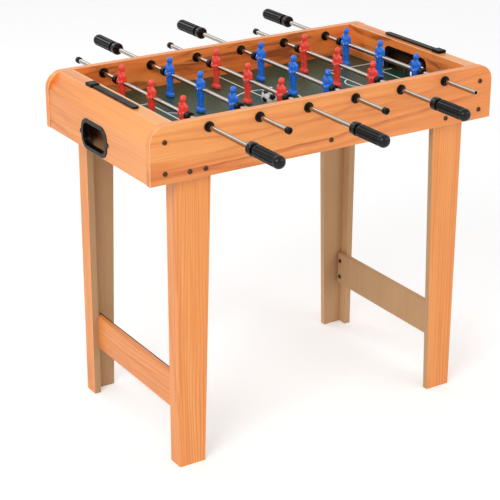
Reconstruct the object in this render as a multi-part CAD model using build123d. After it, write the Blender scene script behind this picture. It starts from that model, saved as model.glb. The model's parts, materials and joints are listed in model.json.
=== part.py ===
from build123d import *
from math import hypot
import os

# Small free-standing foosball table: a box with six rods, on four L-shaped legs.
# X runs along the table, Y across it and Z up. The origin is on the floor, under the middle.
# The front is -Y. Odd rods have their handle at the front and even rods at the back.

# ---- cabinet
table_length = 690.0
table_width = 370.0
table_height = 620.0        # floor to the top edge of the side panels
apron_height = 98.0
panel_thickness = 12.0
corner_radius = 30.0        # top corners of the side panels
edge_round = 0.8            # sharp edges of the laminated boards are just broken
screw_fit = 0.03            # radial room round a screw, sleeve or plug that doesn't move

# ---- end boxes: a folded outer board, and the goal wall that faces the field
end_recess = 1.5            # outer face of the end board, in from the panels' ends
rail_drop = 1.0             # top of the end rail, below the panels' top edge
fold_run = 22.0             # the sloped strip between the end face and the rail, along X
fold_drop = 29.0            # and along Z
fold_round = 3.0
end_box_depth = 49.0        # from the panels' ends to the field side of the goal wall
goal_wall_thickness = 3.5
goal_width = 114.0
goal_height = 37.5
goal_corner = 8.0
goal_liner = 2.0            # wall of the plastic frame in the goal
goal_flange = 4.5
goal_flange_thickness = 1.0
end_strip_height = 12.0     # the low strips each side of the goal, where field meets end wall
end_strip_depth = 6.0
block_width = 24.0          # glue blocks in the corners of the end boxes
block_gap = 6.0             # from the goal wall to a block
block_lift = 8.0
box_floor_thickness = 3.0
box_floor_lift = 1.0
box_wall_gap = 2.0          # from the legs to the board under each goal wall

# ---- field
field_drop = 57.5           # field surface, below the panels' top edge
field_thickness = 3.0
groove_depth = 4.0
groove_room = 0.5
batten_width = 20.0
batten_height = 28.0

# ---- ball return mouths, one in each end board
mouth_height = 28.0         # centre, above the cabinet's lower edge
mouth_shift = 6.0           # centre, behind the middle of the end board
mouth_half_y = 38.5
mouth_half_z = 20.0
mouth_corner = 14.0
mouth_wall = 2.0
mouth_rim = 7.0
mouth_sleeve_depth = 7.5    # the sleeve reaches this far into the end board
ear_radius = 4.2
ear_shift = 1.0             # ear centre, outside the rim's side

# ---- legs: a wide board parallel to the side panel and a narrow one parallel to the end
leg_inset = 53.0
leg_board = 12.0
wide_foot = 50.0
wide_top = 66.0
narrow_foot = 31.0
narrow_top = 33.0
stretcher_low = 91.0
stretcher_height = 64.0
stretcher_board = 12.0
stretcher_gap = 6.0         # from the wide boards to the stretcher's ends

# ---- rods
rod_count = 6
rod_pitch = 95.0
rod_drop = 15.5             # rod axis, below the panels' top edge
tube_radius = 4.0
tube_wall = 1.0
stub_out = 83.0             # from a side panel's outer face to the tube's free end
grip_out = 160.0            # and, on the other side, to the tube's end inside the handle
handle_out = [122.0, 111.0, 126.0, 126.0, 90.0, 111.0]  # and to the handle, for each rod
capless_rod = 6             # this rod's free end has lost its cap
running_gap = 0.1           # radial room of a rod in its bushes and bumpers

# ---- handles
collar_radius = 11.2
collar_length = 12.0
collar_round = 2.4
neck_radius = 7.2
neck_length = 6.5
grip_radius = 10.8
grip_round = 1.2
handle_length = 86.0
dome_radius = 9.0
handle_bore_depth = 72.0
flute_count = 12
flute_radius = 1.9
flute_margin = 4.0

# ---- end caps, bumpers and bushes
cap_radius = 5.9
cap_overlap = 4.0
cap_end = 4.0
cap_dimple_radius = 2.6
cap_dimple_depth = 2.0
bumper_radius = 7.7
bumper_length = 9.0
bumper_room = 0.3
flange_radius = 8.8
flange_thickness = 3.0
boss_radius = 6.3
boss_length = 4.0
sleeve_radius = 5.5

# ---- players
man_pitch = 105.0
foot_reach = 41.0           # rod axis to the sole
head_top = 30.5             # rod axis to the top of the head
head_half = (4.6, 5.3, 6.2)
arm_half_width = 13.5
foot_half = (4.4, 9.6)
foot_height = 6.5
man_screw_radius = 1.1
man_screw_head = 2.0

# ---- score counters
track_inset = 32.5          # track centre, in from the panels' ends
track_shift = -4.0          # and its middle, in front of the table's middle
track_length = 165.0
track_head_width = 12.5
track_head_height = 2.5
track_foot_width = 6.0
track_foot_height = 1.5
marker_length = 20.0
marker_width = 16.5
marker_height = 5.8
marker_round = 1.1
marker_gap = 0.3
marker_end_gap = 1.0        # from a marker at rest to the end of its track

# ---- ball
ball_radius = 15.5
ball_x = -18.0
ball_y = -25.6              # clear of every foot's swing

# ---- fasteners
screw_head_radius = 4.3
screw_head_height = 2.4
screw_shank_radius = 2.0
screw_length = 22.0
cross_length = 4.6
cross_width = 0.9
cross_depth = 1.4
small_head_radius = 2.4
small_head_height = 1.0
small_shank_radius = 1.2
small_length = 9.0
end_screw_inset = 27.0
end_screw_drop = 28.0
end_screw_lift = 18.0
leg_screw_lift = 14.0
leg_screw_inset = 19.0      # first leg screw, in from the leg's outer face
leg_screw_pitch = 29.0
batten_screw_lift = 8.5     # above the batten's lower face
stretcher_screw_inset = 8.0
stretcher_screw_margin = 15.0

# ---- worked out from the sizes above
half_length = table_length / 2
half_width = table_width / 2
base_z = table_height - apron_height
inner_y = half_width - panel_thickness
goal_x = half_length - end_box_depth
goal_back_x = goal_x + goal_wall_thickness
end_x = half_length - end_recess
end_inner_x = end_x - panel_thickness
rail_z = table_height - rail_drop
rail_under_z = rail_z - panel_thickness
field_z = table_height - field_drop
field_under_z = field_z - field_thickness
rod_z = table_height - rod_drop
leg_x = half_length - leg_inset
mouth_z = base_z + mouth_height
floor_low_z = base_z + box_floor_lift
floor_top_z = floor_low_z + box_floor_thickness
block_y = inner_y - block_width
batten_z = field_under_z - batten_height
box_wall_y = inner_y - narrow_top - box_wall_gap
stub_reach = half_width + stub_out
grip_reach = half_width + grip_out
marker_start = (track_length - marker_length) / 2 - marker_end_gap
rods = range(1, rod_count + 1)


def rod_x(number):
    return (number - (rod_count + 1) / 2) * rod_pitch


def rod_side(number):
    """-1 where the handle is at the front, +1 where it is at the back."""
    return -1 if number % 2 else 1


def span(x0, x1, y0, y1, z0, z1):
    """A block between two corners, given in either order."""
    middle = Pos((x0 + x1) / 2, (y0 + y1) / 2, (z0 + z1) / 2)
    return middle * Box(abs(x1 - x0), abs(y1 - y0), abs(z1 - z0))


def facing(x, y, z, direction):
    """The place of a piece made along +Z, turned so that +Z points in a direction."""
    return Plane(origin=(x, y, z), z_dir=direction).location


def standing(radius, low, high):
    """A cylinder along Z between two heights."""
    return Pos(0, 0, (low + high) / 2) * Cylinder(radius, high - low)


def across(points, y0, y1):
    """A prism along Y from an outline in X and Z."""
    face = Plane.XZ * make_face(Polyline(*points, close=True))
    return Pos(0, (y0 + y1) / 2, 0) * extrude(face, amount=abs(y1 - y0) / 2, both=True)


def along(points, x0, x1):
    """A prism along X from an outline in Y and Z."""
    face = Plane.YZ * make_face(Polyline(*points, close=True))
    return Pos((x0 + x1) / 2, 0, 0) * extrude(face, amount=abs(x1 - x0) / 2, both=True)


def mirrored(shape, side):
    """The shape as made for the right end, or its mirror image for the left one."""
    return shape if side > 0 else mirror(shape, about=Plane.YZ)


def inset_path(points, distance):
    """An open path moved sideways to its left, with its corners mitred."""
    moved = []
    for (x0, z0), (x1, z1) in zip(points, points[1:]):
        length = hypot(x1 - x0, z1 - z0)
        shift = Vector(z0 - z1, x1 - x0) * (distance / length)
        moved.append((Vector(x0, z0) + shift, Vector(x1, z1) + shift))
    path = [moved[0][0]]
    for (a, b), (c, d) in zip(moved, moved[1:]):
        u, v = b - a, d - c
        t = ((c - a).X * v.Y - (c - a).Y * v.X) / (u.X * v.Y - u.Y * v.X)
        path.append(a + u * t)
    path.append(moved[-1][1])
    return [(p.X, p.Y) for p in path]


# ------------------------------------------------------------------ fasteners
def screw(head_radius, head_height, shank_radius, length):
    """A cross-head screw along Z. The head sits on z = 0 and the point is at -length."""
    head = fillet(
        standing(head_radius, 0, head_height).edges().group_by(Axis.Z)[-1], head_height * 0.85
    )
    shank = standing(shank_radius, -length + shank_radius, 0)
    point = Pos(0, 0, -length + shank_radius / 2) * Cone(0.3, shank_radius, shank_radius)
    slot = Pos(0, 0, head_height) * Box(cross_length, cross_width, cross_depth * 2)
    size = head_radius / screw_head_radius
    slot = scale(slot, by=(size, size, 1))
    return head + shank + point - slot - Rot(0, 0, 90) * slot


def panel_screw_spots():
    """X and Z of the screws through each side panel."""
    spots = [(0, batten_z + batten_screw_lift)]
    for side in (-1, 1):
        end = side * (half_length - end_screw_inset)
        spots += [(end, table_height - end_screw_drop), (end, base_z + end_screw_lift)]
        for step in (0, 1):
            x = side * (leg_x - leg_screw_inset - step * leg_screw_pitch)
            spots.append((x, base_z + leg_screw_lift))
    return spots


def stretcher_screw_spots():
    """Y and Z of the screws at the ends of each stretcher."""
    end = inner_y - leg_board - stretcher_gap - stretcher_screw_inset
    low = stretcher_low + stretcher_screw_margin
    high = stretcher_low + stretcher_height - stretcher_screw_margin
    return [(side * end, z) for side in (-1, 1) for z in (low, high)]


def screw_way(radius, x, y, z, direction, reach):
    """The hole that a screw from one side leaves, from a little outside to its point."""
    hole = standing(radius + screw_fit, -reach, 1)
    return facing(x, y, z, direction) * hole


def panel_screw_ways(side):
    ways = Part()
    for x, z in panel_screw_spots():
        ways += screw_way(screw_shank_radius, x, side * half_width, z, (0, side, 0), screw_length)
    return ways


def stretcher_screw_ways(side):
    ways = Part()
    x = side * (leg_x - leg_board - stretcher_board)
    for y, z in stretcher_screw_spots():
        ways += screw_way(screw_shank_radius, x, y, z, (-side, 0, 0), screw_length)
    return ways


def cabinet_screws():
    one = screw(screw_head_radius, screw_head_height, screw_shank_radius, screw_length)
    places = [(side, x, z) for side in (-1, 1) for x, z in panel_screw_spots()]
    return [facing(x, side * half_width, z, (0, side, 0)) * one for side, x, z in places]


def stretcher_screws():
    one = screw(screw_head_radius, screw_head_height, screw_shank_radius, screw_length)
    inner = leg_x - leg_board - stretcher_board
    places = [(side, y, z) for side in (-1, 1) for y, z in stretcher_screw_spots()]
    return [facing(side * inner, y, z, (-side, 0, 0)) * one for side, y, z in places]


# -------------------------------------------------------------------- cabinet
def side_panel(side):
    """Front (-1) or back (+1) panel."""
    panel = span(-half_length, half_length, side * inner_y, side * half_width, base_z, table_height)
    panel = fillet(panel.edges().filter_by(Axis.Y).group_by(Axis.Z)[-1], corner_radius)
    rims = panel.faces().filter_by(Axis.Y)
    panel = fillet(rims.edges(), edge_round)
    groove_y = inner_y + groove_depth
    panel -= span(-goal_back_x, goal_back_x, side * (inner_y - 1), side * groove_y, field_under_z, field_z)
    for number in rods:
        hole = Rot(90, 0, 0) * Cylinder(sleeve_radius + screw_fit, panel_thickness * 3)
        panel -= Pos(rod_x(number), side * half_width, rod_z) * hole
    return panel - panel_screw_ways(side)


def end_board_path():
    """The outer face of the end board in X and Z, from its lower edge to the rail's inner edge."""
    fold_x = end_x - fold_run
    return [(end_x, base_z), (end_x, rail_z - fold_drop), (fold_x, rail_z), (goal_x, rail_z)]


def mouth_prism(grow, x0, x1):
    """A prism along X with the mouth's rounded outline, grown by a margin all round."""
    size_y, size_z = (mouth_half_y + grow) * 2, (mouth_half_z + grow) * 2
    face = Plane.YZ * RectangleRounded(size_y, size_z, mouth_corner + grow)
    place = Pos((x0 + x1) / 2, mouth_shift, mouth_z)
    return place * extrude(face, amount=abs(x1 - x0) / 2, both=True)


def ear_spots():
    """Y of the two screws beside the mouth."""
    reach = mouth_half_y + mouth_rim + ear_shift
    return (mouth_shift - reach, mouth_shift + reach)


def end_board(side):
    """The folded outer board: end face, sloped strip and top rail in one."""
    outer = end_board_path()
    board = across(outer + list(reversed(inset_path(outer, panel_thickness))), -inner_y, inner_y)
    folds = [e for e in board.edges().filter_by(Axis.Y) if is_outer_fold(e)]
    board = fillet(folds, fold_round)
    board -= mouth_prism(mouth_wall + screw_fit, end_inner_x - 5, end_x + 5)
    for y in ear_spots():
        board -= screw_way(small_shank_radius, end_x, y, mouth_z, (1, 0, 0), small_length)
    return mirrored(board, side)


def is_outer_fold(edge):
    """True for the two long edges where the outer face of the end board folds."""
    low, high = end_board_path()[1:3]
    middle = edge.center()
    return any(hypot(middle.X - x, middle.Z - z) < 0.1 for x, z in (low, high))


def goal_prism(grow, x0, x1):
    """A prism along X with the goal's outline and its rounded upper corners."""
    wide = goal_width / 2 + grow
    block = span(x0, x1, -wide, wide, field_z - 5, field_z + goal_height + grow)
    return fillet(block.edges().filter_by(Axis.X).group_by(Axis.Z)[-1], goal_corner + grow)


def goal_wall(side):
    """The end wall that stands on the field, with the goal in it."""
    wall = span(goal_x, goal_back_x, -inner_y, inner_y, field_z, rail_under_z)
    return mirrored(wall - goal_prism(0, goal_x - 5, goal_back_x + 5), side)


def goal_frame(side):
    """The plastic liner of the goal, with a thin flange on the field side."""
    face_x = goal_x - goal_flange_thickness
    liner = goal_prism(-screw_fit, goal_x, goal_back_x)
    flange = goal_prism(goal_flange, face_x, goal_x)
    frame = liner + flange - goal_prism(-goal_liner, face_x - 5, goal_back_x + 5)
    frame -= span(face_x - 5, goal_back_x + 5, -inner_y, inner_y, field_z - 10, field_z)
    return mirrored(frame, side)


def end_strips():
    """The low strips along the foot of each end wall, both sides of each goal."""
    start = goal_width / 2 + goal_flange + 0.5
    strips = []
    for x_side in (-1, 1):
        for y_side in (-1, 1):
            strip = span(
                x_side * (goal_x - end_strip_depth), x_side * goal_x,
                y_side * start, y_side * inner_y,
                field_z, field_z + end_strip_height,
            )
            strips.append(fillet(strip.edges().filter_by(Axis.Y).group_by(Axis.Z)[-1], edge_round))
    return strips


def playing_field():
    reach = inner_y + groove_depth - groove_room
    return span(-goal_back_x, goal_back_x, -reach, reach, field_under_z, field_z)


def field_batten():
    """The cross batten that holds the middle of the field up."""
    half = batten_width / 2
    batten = span(-half, half, -inner_y, inner_y, batten_z, field_under_z)
    return batten - panel_screw_ways(-1) - panel_screw_ways(1)


def box_walls():
    """Under each goal wall, the board that keeps a returned ball in its box."""
    walls = []
    for side in (-1, 1):
        x0, x1 = side * goal_x, side * goal_back_x
        walls.append(span(x0, x1, -box_wall_y, box_wall_y, floor_low_z, field_under_z))
    return walls


def box_floors():
    floors = []
    for side in (-1, 1):
        x0, x1 = side * goal_back_x, side * end_inner_x
        floors.append(span(x0, x1, -block_y, block_y, floor_low_z, floor_top_z))
    return floors


def corner_blocks():
    """Glue blocks in the four corners, cut to the inside of the folded boards."""
    inner = inset_path(end_board_path(), panel_thickness)
    start_x = goal_back_x + block_gap
    low = base_z + block_lift
    outline = [(start_x, low), (end_inner_x, low), inner[1], inner[2], (start_x, rail_under_z)]
    blocks = []
    for x_side in (-1, 1):
        for y_side in (-1, 1):
            block = mirrored(across(outline, y_side * block_y, y_side * inner_y), x_side)
            blocks.append(block - panel_screw_ways(y_side))
    return blocks


def ball_mouth(side):
    """The black plastic rim and sleeve of a ball return."""
    rim = mouth_prism(mouth_rim, end_x, half_length)
    for y in ear_spots():
        ear = Pos((end_x + half_length) / 2, y, mouth_z) * Rot(0, 90, 0)
        rim += ear * Cylinder(ear_radius, end_recess)
    outer_edges = rim.faces().sort_by(Axis.X)[-1].outer_wire().edges()
    rim = fillet(outer_edges, edge_round)
    sleeve = mouth_prism(mouth_wall, end_x - mouth_sleeve_depth, end_x)
    piece = rim + sleeve - mouth_prism(0, end_inner_x - 5, half_length + 5)
    for y in ear_spots():
        seat = facing(half_length, y, mouth_z, (1, 0, 0))
        piece -= seat * standing(small_head_radius + screw_fit, -small_head_height, 1)
        piece -= seat * standing(small_shank_radius + screw_fit, -end_recess - 1, 1)
    return mirrored(piece, side)


def mouth_screws():
    one = screw(small_head_radius, small_head_height, small_shank_radius, small_length)
    seat_x = half_length - small_head_height
    right = [facing(seat_x, y, mouth_z, (1, 0, 0)) * one for y in ear_spots()]
    return [mirrored(piece, side) for side in (-1, 1) for piece in right]


# ----------------------------------------------------------------------- legs
def leg(x_side, y_side):
    """Two boards glued into an L, its outer corner under the cabinet's corner."""
    wide_y = inner_y - leg_board
    outline = [
        (leg_x, 0), (leg_x, field_under_z),
        (leg_x - wide_top, field_under_z), (leg_x - wide_foot, 0),
    ]
    wide = across(outline, wide_y, inner_y)
    outline = [
        (wide_y, 0), (wide_y, field_under_z),
        (inner_y - narrow_top, field_under_z), (inner_y - narrow_foot, 0),
    ]
    narrow = along(outline, leg_x - leg_board, leg_x)
    wide = fillet(wide.edges().filter_by(lambda e: e.length > field_under_z - 1), edge_round)
    wide -= panel_screw_ways(1)
    narrow -= stretcher_screw_ways(1)
    boards = [mirrored(board, x_side) for board in (wide, narrow)]
    return boards if y_side > 0 else [mirror(board, about=Plane.XZ) for board in boards]


def stretcher(side):
    """The board between the two legs of one end, on the inside of their narrow boards."""
    outer = leg_x - leg_board
    reach = inner_y - leg_board - stretcher_gap
    high = stretcher_low + stretcher_height
    board = span(outer - stretcher_board, outer, -reach, reach, stretcher_low, high)
    board = fillet(board.edges().filter_by(Axis.Y), edge_round)
    return mirrored(board - stretcher_screw_ways(1), side)


# ----------------------------------------------------------------------- rods
def rod_place(number):
    """The frame of a rod: its +Z runs along the rod towards the handle."""
    return facing(rod_x(number), 0, rod_z, (0, rod_side(number), 0))


def tube(number):
    piece = standing(tube_radius, -stub_reach, grip_reach)
    piece -= standing(tube_radius - tube_wall, -stub_reach - 1, grip_reach + 1)
    return rod_place(number) * piece


def handle(number):
    """A push-on grip with a collar, a neck and flutes, closed by a dome."""
    collar = standing(collar_radius, 0, collar_length)
    collar = fillet(collar.edges().filter_by(GeomType.CIRCLE), collar_round)
    grip_start = collar_length + neck_length
    neck = standing(neck_radius, collar_length - 1, grip_start + 1)
    grip = standing(grip_radius, grip_start, handle_length)
    grip = fillet(grip.edges().filter_by(GeomType.CIRCLE).sort_by(Axis.Z)[-1], dome_radius)
    grip = fillet(grip.edges().filter_by(GeomType.CIRCLE).sort_by(Axis.Z)[0], grip_round)
    piece = collar + neck + grip
    low = grip_start + flute_margin
    high = handle_length - dome_radius - flute_margin
    flute = standing(flute_radius, low, high)
    flute += Pos(0, 0, low) * Sphere(flute_radius) + Pos(0, 0, high) * Sphere(flute_radius)
    for step in range(flute_count):
        piece -= Rot(0, 0, step * 360 / flute_count) * Pos(grip_radius, 0, 0) * flute
    piece -= standing(tube_radius + screw_fit, -1, handle_bore_depth)
    return rod_place(number) * Pos(0, 0, half_width + handle_out[number - 1]) * piece


def end_cap(number):
    """The plug over the free end of a rod."""
    cap = standing(cap_radius, -stub_reach - cap_end, -stub_reach + cap_overlap)
    cap = fillet(cap.edges().filter_by(GeomType.CIRCLE), 1.0)
    cap -= standing(tube_radius + screw_fit, -stub_reach, -stub_reach + cap_overlap + 1)
    far_end = -stub_reach - cap_end
    cap -= standing(cap_dimple_radius, far_end - 1, far_end + cap_dimple_depth)
    return rod_place(number) * cap


def bumpers(number):
    """The two rubber rings on a rod, outside its outermost players."""
    start = man_pitch + arm_half_width + bumper_room
    ring = standing(bumper_radius, start, start + bumper_length)
    ring = fillet(ring.edges(), 1.0)
    ring -= standing(tube_radius + running_gap, start - 1, start + bumper_length + 1)
    return [rod_place(number) * ring, rod_place(number) * mirror(ring, about=Plane.XY)]


def bush_half():
    """Half a rod bush: it stands on the panel's face at z = 0 and its sleeve reaches in."""
    flange = fillet(standing(flange_radius, 0, flange_thickness).edges().group_by(Axis.Z)[-1], 1.2)
    boss_top = flange_thickness + boss_length
    boss = fillet(standing(boss_radius, 0, boss_top).edges().group_by(Axis.Z)[-1], 1.0)
    sleeve = standing(sleeve_radius, -panel_thickness / 2, 0)
    bore = standing(tube_radius + running_gap, -panel_thickness, boss_top + 1)
    return flange + boss + sleeve - bore


def bushes(side):
    """The twelve bush halves of one side panel."""
    half = bush_half()
    outside = [facing(rod_x(n), side * half_width, rod_z, (0, side, 0)) * half for n in rods]
    inside = [facing(rod_x(n), side * inner_y, rod_z, (0, -side, 0)) * half for n in rods]
    return outside + inside


# -------------------------------------------------------------------- players
def slab(half_x, half_y, z, corner):
    return Pos(0, 0, z) * RectangleRounded(half_x * 2, half_y * 2, corner)


def man():
    """A moulded player standing round the rod's axis: Z up, Y along the rod."""
    shoulder = head_top - head_half[2] * 2
    half_x, half_y, half_z = head_half
    head = Pos(0, 0, head_top - half_z) * scale(Sphere(half_z), by=(half_x / half_z, half_y / half_z, 1))
    neck = standing(2.6, shoulder - 4, shoulder + 3)
    chest = loft([slab(3.0, 8.0, shoulder - 1, 2.5), slab(5.0, 11.8, shoulder - 6, 4.0)])
    arms = loft([slab(5.0, 11.8, shoulder - 6, 4.0), slab(6.2, arm_half_width, -2, 4.5)])
    hips = loft([slab(6.2, arm_half_width, -2, 4.5), slab(5.2, 8.6, -9, 3.6)])
    legs = loft([slab(5.2, 8.6, -9, 3.6), slab(3.7, 7.2, foot_height - foot_reach, 2.8)])
    foot = standing_foot()
    body = head + neck + chest + arms + hips + legs + foot
    body -= Rot(90, 0, 0) * Cylinder(tube_radius + screw_fit, arm_half_width * 4)
    return body - man_screw_place() * standing(man_screw_radius + screw_fit, -20, 5)


def standing_foot():
    """The foot block, rounded under the sole so that it clears the field when it swings."""
    half_x, half_y = foot_half
    block = span(-half_x, half_x, -half_y, half_y, -foot_reach, foot_height - foot_reach)
    sweep_room = Rot(90, 0, 0) * Cylinder(foot_reach, half_y * 4)
    return fillet(block.edges().filter_by(Axis.Z), 2.0) & sweep_room


def man_screw_place():
    """Where the screw enters the chest, on the -X face, level with the rod."""
    return facing(-6.2, 0, 0, (-1, 0, 0))


def men(number):
    """Three players and the small screws that hold them on the rod."""
    figure = man()
    pin = standing(man_screw_radius, -6.2 + tube_radius + screw_fit, 0)
    pin += fillet(standing(man_screw_head, 0, 0.9).edges().group_by(Axis.Z)[-1], 0.6)
    pin = man_screw_place() * pin
    pieces = []
    for step in (-1, 0, 1):
        place = Pos(rod_x(number), step * man_pitch, rod_z)
        pieces += [place * figure, place * pin]
    return pieces


# ------------------------------------------------------------- score counters
def score_track(side):
    """A T-shaped rail on top of the end rail."""
    x = half_length - track_inset
    foot_top = rail_z + track_foot_height
    head_top_z = foot_top + track_head_height
    half = track_length / 2
    foot = span(
        x - track_foot_width / 2, x + track_foot_width / 2,
        -half + 2, half - 2, rail_z, foot_top,
    )
    head = span(x - track_head_width / 2, x + track_head_width / 2, -half, half, foot_top, head_top_z)
    head = fillet(head.edges().filter_by(Axis.Z), track_head_width / 2 - 0.5)
    head = fillet(head.edges().group_by(Axis.Z)[-1], 0.6)
    return mirrored(Pos(0, track_shift, 0) * (foot + head), side)


def score_marker(side):
    """The slider that hooks under the head of the track, at rest at one end of it."""
    x = half_length - track_inset
    low = rail_z + marker_gap
    high = rail_z + marker_height
    half = marker_length / 2
    body = span(x - marker_width / 2, x + marker_width / 2, -half, half, low, high)
    body = fillet(body.edges().group_by(Axis.Z)[-1], marker_round)
    foot_half = track_foot_width / 2 + marker_gap
    body -= span(x - foot_half, x + foot_half, -half - 1, half + 1, low - 1, high - 3)
    head_half_width = track_head_width / 2 + marker_gap
    head_low = rail_z + track_foot_height - marker_gap
    head_high = rail_z + track_foot_height + track_head_height + marker_gap
    body -= span(x - head_half_width, x + head_half_width, -half - 1, half + 1, head_low, head_high)
    return mirrored(Pos(0, track_shift - side * marker_start, 0) * body, side)


def ball():
    return Pos(ball_x, ball_y, field_z + ball_radius) * Sphere(ball_radius)


# ---------------------------------------------------------------------- files
def cabinet_nodes():
    nodes = {"front_side_panel": side_panel(-1), "back_side_panel": side_panel(1)}
    for name, side in (("left", -1), ("right", 1)):
        nodes[name + "_end_panel"] = end_board(side)
        nodes[name + "_goal_wall"] = goal_wall(side)
        nodes[name + "_ball_mouth"] = ball_mouth(side)
        nodes[name + "_score_track"] = score_track(side)
        nodes[name + "_stretcher"] = stretcher(side)
    nodes["goal_frames"] = [goal_frame(-1), goal_frame(1)]
    nodes["end_strips"] = end_strips()
    nodes["playing_field"] = playing_field()
    nodes["field_batten"] = field_batten()
    nodes["ball_box_walls"] = box_walls()
    nodes["ball_box_floors"] = box_floors()
    nodes["corner_blocks"] = corner_blocks()
    nodes["front_bushes"] = bushes(-1)
    nodes["back_bushes"] = bushes(1)
    nodes["cabinet_screws"] = cabinet_screws()
    nodes["stretcher_screws"] = stretcher_screws()
    nodes["ball_mouth_screws"] = mouth_screws()
    return nodes


def leg_nodes():
    corners = {"front_left": (-1, -1), "front_right": (1, -1), "back_left": (-1, 1), "back_right": (1, 1)}
    return {name + "_leg": leg(*sides) for name, sides in corners.items()}


def moving_nodes():
    nodes = {"left_score_marker": score_marker(-1), "right_score_marker": score_marker(1), "ball": ball()}
    for number in rods:
        name = f"rod_{number}_"
        nodes[name + "tube"] = tube(number)
        nodes[name + "handle"] = handle(number)
        nodes[name + "men"] = men(number)
        nodes[name + "bumpers"] = bumpers(number)
        if number != capless_rod:
            nodes[name + "end_cap"] = end_cap(number)
    return nodes


def write(name, shape):
    """One STEP file for a node: a single solid, or a group of them."""
    shapes = shape if isinstance(shape, list) else [shape]
    solids = [solid for one in shapes for solid in one.solids()]
    export_step(solids[0] if len(solids) == 1 else Compound(solids), f"parts/{name}.step")


os.makedirs("parts", exist_ok=True)
for node_name, node_shape in {**cabinet_nodes(), **leg_nodes(), **moving_nodes()}.items():
    write(node_name, node_shape)
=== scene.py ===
import json
import math
import bmesh
import bpy
from mathutils import Matrix, Vector


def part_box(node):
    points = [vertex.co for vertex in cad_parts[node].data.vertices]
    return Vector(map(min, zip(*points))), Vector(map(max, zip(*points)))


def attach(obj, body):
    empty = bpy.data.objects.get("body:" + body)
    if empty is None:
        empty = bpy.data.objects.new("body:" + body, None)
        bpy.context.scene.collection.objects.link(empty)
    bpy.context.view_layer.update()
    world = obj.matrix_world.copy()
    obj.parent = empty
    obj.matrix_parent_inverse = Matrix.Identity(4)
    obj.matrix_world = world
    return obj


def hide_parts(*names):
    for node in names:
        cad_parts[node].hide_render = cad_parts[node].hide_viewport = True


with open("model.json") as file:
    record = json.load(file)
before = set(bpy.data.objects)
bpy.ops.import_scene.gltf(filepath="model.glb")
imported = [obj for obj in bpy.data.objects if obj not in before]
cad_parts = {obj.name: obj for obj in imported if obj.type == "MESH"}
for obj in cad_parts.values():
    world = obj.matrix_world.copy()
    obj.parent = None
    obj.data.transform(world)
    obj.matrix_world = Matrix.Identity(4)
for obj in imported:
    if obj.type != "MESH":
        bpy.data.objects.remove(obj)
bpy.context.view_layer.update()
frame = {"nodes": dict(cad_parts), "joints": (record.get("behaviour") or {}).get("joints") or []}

# The looks of the foosball table. X runs along the table, Y across it, Z up, all in metres.
# The front is -Y, the left end is -X.

MM = 0.001
GEO = {name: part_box(name) for name in frame["nodes"]}
RODS = range(1, 7)      # from the left end
JOINTS = {joint["name"]: joint for joint in frame["joints"]}


def colour(red, green, blue):
    """A display colour, 0 to 255, as the linear colour that a shader takes."""
    linear = []
    for value in (red, green, blue):
        value /= 255
        linear.append(value / 12.92 if value <= 0.04045 else ((value + 0.055) / 1.055) ** 2.4)
    return (*linear, 1.0)


def placed(name, data):
    """A new object in the scene."""
    thing = bpy.data.objects.new(name, data)
    bpy.context.scene.collection.objects.link(thing)
    return thing


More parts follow.
